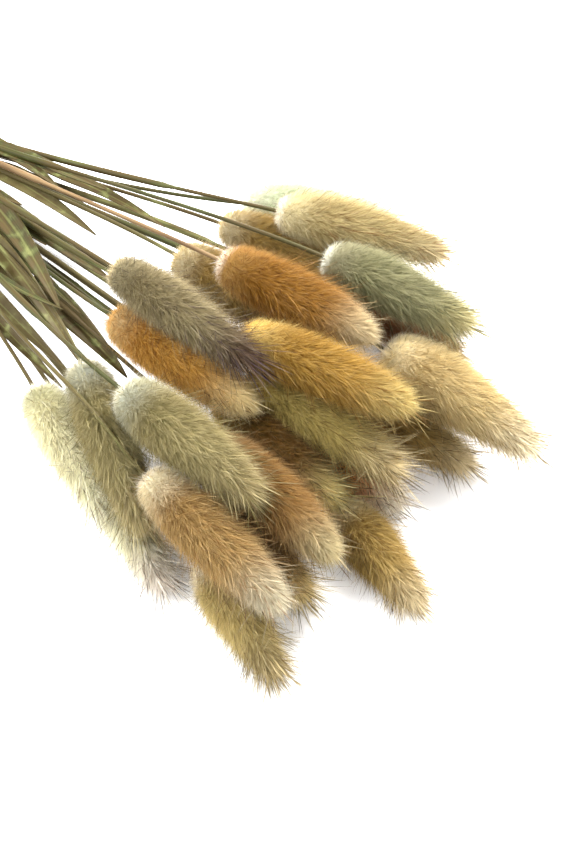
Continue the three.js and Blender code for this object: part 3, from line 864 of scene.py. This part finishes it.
def stem_line(number, slot):
    """A stem's line from its cut end through the tie to its head: points, radii and places on its way."""
    row = HEADS[number - 1]
    base, way = np.array(row[0], float), heading(row[1], row[2])
    t = np.linspace(1, 0, STEM_POINTS["behind"], endpoint=False)
    points = [
        -lerp(TIE_HALF_LENGTH, TAIL["length"], t),
        slot[0] * lerp(1, TAIL["across"], t ** TAIL["curve"]),
        TIE_HEIGHT + (slot[1] - TIE_HEIGHT) * lerp(1, TAIL["up"], t ** TAIL["curve"]),
    ]
    behind = np.stack(points, -1)
    radii = list(lerp(STEM_RADIUS["tie"], STEM_RADIUS["cut"], t))
    start = np.array([TIE_HALF_LENGTH, *slot])
    end = base - way * STEM_GAP
    span = np.linalg.norm(end - start)
    first = (end - start) / span + [1, 0, 0]
    first /= np.linalg.norm(first)
    hold, release = start + first * STEM_BOW["start"] * span, end - way * STEM_BOW["end"] * span
    aside, place = BENDS.get(number, ((0, 0, 0), 1))
    t = np.linspace(0, 1, STEM_POINTS["ahead"])[:, None]
    ahead = (1 - t) ** 3 * start + 3 * (1 - t) ** 2 * t * hold + 3 * (1 - t) * t**2 * release + t**3 * end
    ahead = ahead + np.array(aside) * np.sin(np.pi * t**place) ** 2 * np.minimum(1, BEND_SETS_IN * t)
    t = t[:, 0]
    sheath = lerp(STEM_RADIUS["tie"], STEM_RADIUS["sheath"], np.minimum(1, SHEATH_SWELLS * t))
    bare = np.clip((t - SHEATH_END[(number - 1) % len(SHEATH_END)]) / SHEATH_EDGE, 0, 1)
    girth = lerp(sheath, STEM_RADIUS["head"], bare)
    for node in NODES["places"]:
        away = (t - node) * span / NODES["length"]
        girth = girth * (1 + NODES["swell"] * np.exp(-(away**2)))
    radii += list(girth)
    along = np.concatenate([np.linspace(CUT_END, 0, STEM_POINTS["behind"], endpoint=False), t])
    return np.concatenate([behind, ahead]), np.array(radii), along


def blade_width(t):
    """A blade's width as a share of the widest: a clasping foot, a long middle and a point."""
    shape = BLADE_OUTLINE
    opened = lerp(shape["foot"], 1, np.minimum(1, t / shape["full"]) ** shape["swell"])
    return opened * (1 - t ** shape["point"]) ** shape["blunt"] + shape["least"]


def blade_mesh(line, blade):
    """A thin folded leaf that leaves its stem along it, bows over to its tip, and twists and waves."""
    number, leaves_at, tip, width, roll = blade
    i = int(np.argmax(line[:, 0] > leaves_at))
    share = (leaves_at - line[i - 1][0]) / (line[i][0] - line[i - 1][0])
    foot, tip = lerp(line[i - 1], line[i], share), np.array(tip, float)
    along = (line[i] - line[i - 1]) / np.linalg.norm(line[i] - line[i - 1])
    bow = foot + along * BLADE_BOW * np.linalg.norm(tip - foot)
    points, faces, spots = [], [], []
    across_steps = np.linspace(-1, 1, BLADE_STRIPS + 1)
    for t in np.linspace(0, 1, BLADE_STEPS + 1):
        middle = (1 - t) ** 2 * foot + 2 * t * (1 - t) * bow + t * t * tip
        way = (1 - t) * (bow - foot) + t * (tip - bow)
        way /= np.linalg.norm(way)
        turned = Matrix.Rotation(math.radians(roll + BLADE_TWIST * t), 3, Vector(way))
        face, across = [np.array(turned @ Vector(side)) for side in square_to(way)]
        half = width * blade_width(t) / 2
        ripple = BLADE_WAVE * width * math.sin(BLADE_WAVES * t + number) * t * (1 - t)
        for sides, thick in ((across_steps, BLADE_THICK), (across_steps[::-1], 0)):
            for side in sides:
                high = 2 * half * BLADE_FOLD * abs(side) ** BLADE_CURL + BLADE_RISE + ripple * side
                points.append(middle + across * half * side + face * (high + thick))
                spots.append((BLADE_MAP["rib"] + BLADE_MAP["half"] * side, t))
    around = 2 * (BLADE_STRIPS + 1)
    for n in range(BLADE_STEPS):
        for k in range(around):
            a, b = n * around + k, n * around + (k + 1) % around
            faces.append((a, b, b + around, a + around))
    faces.append(tuple(range(around))[::-1])
    faces.append(tuple(range(BLADE_STEPS * around, (BLADE_STEPS + 1) * around)))
    return points, faces, spots


def tube_along(tree, path, sides, radius, more=None):
    """A tube along a curve, which knows how far round it each of its points is (round)."""
    turn = put(tree, "GeometryNodeCurvePrimitiveCircle", {}, {"Resolution": sides, "Radius": radius})
    turn = keep(tree, turn, "round", put(tree, "GeometryNodeSplineParameter", {}, {}, "Factor"))
    inputs = {"Curve": path, "Profile Curve": turn, "Fill Caps": True, **(more or {})}
    return put(tree, "GeometryNodeCurveToMesh", {}, inputs)


def there_and_back(tree, width, start):
    """The place across the colour map, which runs round a tube and back, so that it has no seam."""
    there = read(tree, "round")
    return there.maths("PINGPONG", there, 0.5) * width + start


def culm_tree():
    """Turns a culm's line into a round stem, and joins the blades to it."""
    tree, given = new_tree("culm", {"Material": "Material"})
    is_line = read(tree, "line")
    is_line = is_line.maths("GREATER_THAN", is_line, 0.5)
    path = put(tree, "GeometryNodeMeshToCurve", {}, {"Mesh": given["Geometry"], "Selection": is_line})
    tube = tube_along(tree, path, STEM_SIDES, 1.0, {"Scale": read(tree, "girth")})
    across = there_and_back(tree, STEM_MAP["width"], STEM_MAP["from"])
    tube = keep_map(tree, tube, across, (read(tree, "along") - CUT_END) * (1 / (1 - CUT_END)))
    inputs = {"Geometry": given["Geometry"], "Selection": is_line}
    leaves = put(tree, "GeometryNodeDeleteGeometry", {"domain": "POINT"}, inputs)
    close_tree(tree, smoothed(tree, join(tree, [tube, leaves])), given["Material"])
    return tree


def ridges(tree, height, strength, rise):
    """Fine ridges of that strength and of that rise in mm."""
    return put(tree, "ShaderNodeBump", {}, {"Strength": strength, "Distance": rise * MM, "Height": height})


def culm_material(name, colours):
    """Dry stem and leaf: dark veins, pale and brown patches, and blades with a pale rib and a brown tip."""
    pale, body, dark, worn = [linear(text) for text in colours]
    material, tree = new_material(name)
    u, v = map_place(tree)
    number = put(tree, "ShaderNodeAttribute", {"attribute_name": "culm"}, {}, "Fac")
    is_blade = u.smooth(*BLADE_MAP["from"])
    made = []
    for look in (VEINS, BLOTCHES):
        place = combined(tree, u * look["across"], v * look["along"], number * look["apart"])
        made.append(noise(tree, place, look["detail"]))
    veins, patches = made
    cast = put(tree, "ShaderNodeTexWhiteNoise", {"noise_dimensions": "1D"}, {"W": number}, "Value")
    rib = u - BLADE_MAP["rib"]
    rib = rib.maths("ABSOLUTE", rib)
    rib = (1 - rib.smooth(0.0, BLADE_MAP["rib half"])) * is_blade
    colour = veins.smooth(*VEIN_FADES).blend(dark, body)
    colour = (patches + cast * CAST["pale"] - CAST["pale"] / 2).smooth(*PALE_FADES).blend(colour, pale)
    is_worn = (patches - cast * CAST["worn"]).smooth(*WORN_FADES) * STRENGTH["worn"]
    colour = is_worn.blend(colour, worn)
    colour = (rib * STRENGTH["rib"]).blend(colour, pale)
    colour = (v.smooth(*BLADE_TIP_FADES) * is_blade * STRENGTH["tip"]).blend(colour, worn)
    show_surface(tree, plain_shader(tree, "culm", colour, {"Normal": ridges(tree, veins, *CULM_RIDGES)}))
    return material


culms = culm_tree()
culm_materials = {slot: culm_material("dry_" + slot, colours) for slot, colours in CULM_COLOURS.items()}
slot_of_stem = slots_in_tie()
for number in range(1, len(HEADS) + 1):
    node = f"stem_{number:02d}"
    line, radii, along = stem_line(number, slot_of_stem[number - 1])
    points, spots = [*line], [(0.0, 0.0)] * len(line)
    faces = []
    for blade in BLADES:
        if blade[0] == number:
            leaf, sides, places = blade_mesh(line, blade)
            faces += [tuple(k + len(points) for k in side) for side in sides]
            points += leaf
            spots += places
    edges = [(k, k + 1) for k in range(len(line) - 1)]
    culm = add_mesh("culm_" + node, [(point + TIE_FOOT) * MM for point in points], edges, faces)
    others = len(points) - len(line)
    for name, values in (
        ("line", [1.0] * len(line) + [0.0] * others),
        ("girth", [*(radii * MM), *[0.0] * others]),
        ("along", [*along, *[0.0] * others]),
        ("culm", [float(number)] * len(points)),
    ):
        culm.data.attributes.new(name, "FLOAT", "POINT").data.foreach_set("value", values)
    if faces:
        at_corners = np.array([spots[loop.vertex_index] for loop in culm.data.loops])
        culm.data.uv_layers.new(name="OFBake").data.foreach_set("uv", at_corners.ravel())
    made_by(culms, culm, {"Material": culm_materials[slots[node]]})
    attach(culm, "root")
    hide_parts(node)


# Tie.
#
# A natural twine of three plies, laid round the stems in four turns side by side and knotted on top, with
# its two short ends trailing towards the cut ends of the stems.
TWINE_RADIUS = 0.9
TWINE_TURNS = 4
TURN_PITCH = 1.7
TURN_POINTS = 72
TURN_EASE = (-0.15, 0, 0.15)
TWINE_STEP = 0.36
PLIES = 3
PLY_SIDES = 6
PLY_RADIUS = 0.5
PLY_AWAY = 0.48
PLY_LAY = 7.0
KNOT_SIZE = (0.8, 0.62, 0.62)
KNOT_SUNK = 0.4
KNOT_POINTS = 61
KNOT_END = {"length": 11, "spread": 5, "curve": 1.4, "arch": 1.4, "points": 26}
FUZZ = {"count": 1.1, "length": 1.5, "width": 0.07, "range": (0.4, 1.2)}
FUZZ_TILT = (1.1, 1.1, 3.1)
FUZZ_SEED = 7

# The twine's colour map: its width and start, how often it repeats along a ply, and how far apart plies
# are. Then the grain of its fibres, their dark and pale colours and their ridges.
TWINE_MAP = {"width": 1.9, "from": 0.02, "repeats": 60, "apart": 0.37}
GRAIN = {"across": 14, "slant": 3, "along": 22, "detail": 3.0}
GRAIN_FADES = (0.3, 0.7)
TWINE_COLOURS = ("8d6b3c", "cbae7c")
TWINE_RIDGES = (0.6, 0.1)


def outer_slot(angle):
    """The slot that lies furthest out on that side of the bundle."""
    return max(slot_of_stem, key=lambda slot: slot[0] * math.cos(angle) + slot[1] * math.sin(angle))


def twine_path():
    """The lines that the twine follows: the turns, the knot and the two ends."""
    reach = STEM_RADIUS["tie"] + STEM_GAP + TWINE_RADIUS
    turns = []
    for n in range(TWINE_TURNS * TURN_POINTS + 1):
        angle = 2 * math.pi * n / TURN_POINTS + math.pi / 2
        out = np.array([0, math.cos(angle), math.sin(angle)])
        middle = np.mean([[0, *outer_slot(angle + aside)] for aside in TURN_EASE], axis=0)
        slid = (TWINE_TURNS - 1) * TURN_PITCH * n / (TWINE_TURNS * TURN_POINTS)
        turns.append(middle + out * reach + [TIE_HALF_LENGTH - TURN_PITCH / 2 - slid, 0, 0])
    height = TIE_HEIGHT + HALF_HEIGHT + STEM_RADIUS["tie"] + STEM_GAP + (2 - KNOT_SUNK) * TWINE_RADIUS
    knot = []
    for t in np.linspace(0, 2 * math.pi, KNOT_POINTS):
        way = (math.sin(t) + 2 * math.sin(2 * t), math.cos(t) - 2 * math.cos(2 * t), -math.sin(3 * t))
        knot.append(np.array(way) * KNOT_SIZE + [0, 0, height])
    ends = []
    for side in (1, -1):
        t = np.linspace(0, 1, KNOT_END["points"])
        x = -KNOT_END["length"] * t
        y = side * KNOT_END["spread"] * t ** KNOT_END["curve"]
        z = height + KNOT_END["arch"] * t * (1 - t)
        ends.append(np.stack([x, y, z], -1))
    return [np.array(turns), np.array(knot), *ends]


def twine_tree():
    """Winds three plies round the twine's lines, and gives them a fuzz of loose fibres."""
    tree, given = new_tree("twine", {"Material": "Material"})
    path = put(tree, "GeometryNodeMeshToCurve", {}, {"Mesh": given["Geometry"]})
    inputs = {"Curve": path, "Length": TWINE_STEP * MM}
    path = put(tree, "GeometryNodeResampleCurve", {"mode": "LENGTH"}, inputs)
    path = put(tree, "GeometryNodeSetCurveNormal", {"mode": "MINIMUM_TWIST"}, {"Curve": path})
    distance = put(tree, "GeometryNodeSplineParameter", {}, {}, "Length")
    normal = put(tree, "GeometryNodeInputNormal")
    side = cross(put(tree, "GeometryNodeInputTangent"), normal)
    plies = []
    for ply in range(PLIES):
        angle = distance * (2 * math.pi) / (PLY_LAY * MM) + ply * 2 * math.pi / PLIES
        away = (normal * angle.maths("COSINE", angle) + side * angle.maths("SINE", angle)) * (PLY_AWAY * MM)
        strand = put(tree, "GeometryNodeSetPosition", {}, {"Geometry": path, "Offset": away})
        strand = keep(tree, strand, "place", distance * TWINE_MAP["repeats"] + ply * TWINE_MAP["apart"])
        plies.append(tube_along(tree, strand, PLY_SIDES, PLY_RADIUS * MM))
    twine = join(tree, plies)

    sown = sow(tree, twine, FUZZ["count"] / MM**2, FUZZ_SEED)
    low = tuple(-angle for angle in FUZZ_TILT)
    inputs = {
        "Rotation": Wire(sown.socket.node.outputs["Rotation"]),
        "Rotate By": chance(tree, "FLOAT_VECTOR", low, FUZZ_TILT, FUZZ_SEED + 1),
    }
    turned = put(tree, "FunctionNodeRotateRotation", {"rotation_space": "LOCAL"}, inputs)
    thin, long = FUZZ["width"] * MM, FUZZ["length"] * MM
    inputs = {"Vertices": 3, "Radius Top": 0.0, "Radius Bottom": thin, "Depth": long}
    fibre = put(tree, "GeometryNodeMeshCone", {"fill_type": "NONE"}, inputs)
    size = chance(tree, "FLOAT", *FUZZ["range"], FUZZ_SEED + 2)
    whole = join(tree, [twine, planted(tree, sown, fibre, {"Rotation": turned, "Scale": size})])

    whole = move(tree, whole, above(tree, put(tree, "GeometryNodeInputPosition"), 0.0))
    place = read(tree, "place")
    across = there_and_back(tree, TWINE_MAP["width"], TWINE_MAP["from"])
    whole = keep_map(tree, whole, across, place.maths("FRACT", place))
    close_tree(tree, smoothed(tree, whole), given["Material"])
    return tree


def twine_material():
    """Jute: pale twisted fibres with brown between them."""
    material, tree = new_material("jute_twine")
    u, v = map_place(tree)
    place = combined(tree, u * GRAIN["across"] + v * GRAIN["slant"], v * GRAIN["along"])
    grain = noise(tree, place, GRAIN["detail"])
    colour = grain.smooth(*GRAIN_FADES).blend(*[linear(text) for text in TWINE_COLOURS])
    show_surface(tree, plain_shader(tree, "twine", colour, {"Normal": ridges(tree, grain, *TWINE_RIDGES)}))
    return material


points, edges = [], []
for line in twine_path():
    edges += [(len(points) + k, len(points) + k + 1) for k in range(len(line) - 1)]
    points += [(point + TIE_FOOT) * MM for point in line]
twine = add_mesh("twine_tie", points, edges, [])
made_by(twine_tree(), twine, {"Material": twine_material()})
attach(twine, "root")
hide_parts("tie")


# Camera and lights.
#
# The camera looks down on the bunch from the side of the heads, as in the photograph, with a long lens. A
# broad lamp behind and above the bunch gives the hairs their bright rims, a second one fills in, and the
# sky is white.
VIEW_TARGET = (236.7, -4.9, 11.0)
VIEW_TURN = 41
VIEW_HEIGHT = 54
VIEW_DISTANCE = 647.6
LENS = 85
CLIP = (0.01, 20)
SKY = 1.15
LAMPS = {
    "back lamp": {"at": (-20, 520, 480), "size": 420, "power": 25.0, "colour": (1.0, 0.985, 0.96)},
    "side lamp": {"at": (-260, -420, 560), "size": 600, "power": 16.0, "colour": (0.97, 0.985, 1.0)},
}

target = Vector((np.array(VIEW_TARGET) + TIE_FOOT) * MM)
turn, height = math.radians(VIEW_TURN), math.radians(VIEW_HEIGHT)
back = Vector((math.sin(turn) * math.cos(height), -math.cos(turn) * math.cos(height), math.sin(height)))
lens = bpy.data.cameras.new("camera")
lens.lens = LENS
lens.clip_start, lens.clip_end = CLIP
camera = add_object("camera", lens)
camera.location = target + back * VIEW_DISTANCE * MM
camera.rotation_euler = back.to_track_quat("Z", "Y").to_euler()
bpy.context.scene.camera = camera

for name, lamp in LAMPS.items():
    light = bpy.data.lights.new(name, "AREA")
    light.shape = "DISK"
    light.size = lamp["size"] * MM
    light.energy = lamp["power"]
    light.color = lamp["colour"]
    holder = add_object(name, light)
    holder.location = Vector(lamp["at"]) * MM
    holder.rotation_euler = (holder.location - target).to_track_quat("Z", "Y").to_euler()

world = bpy.data.worlds.new("white sky")
world.use_nodes = True
world.node_tree.nodes["Background"].inputs["Color"].default_value = (1, 1, 1, 1)
world.node_tree.nodes["Background"].inputs["Strength"].default_value = SKY
bpy.context.scene.world = world
bpy.context.scene.view_settings.view_transform = "Standard"
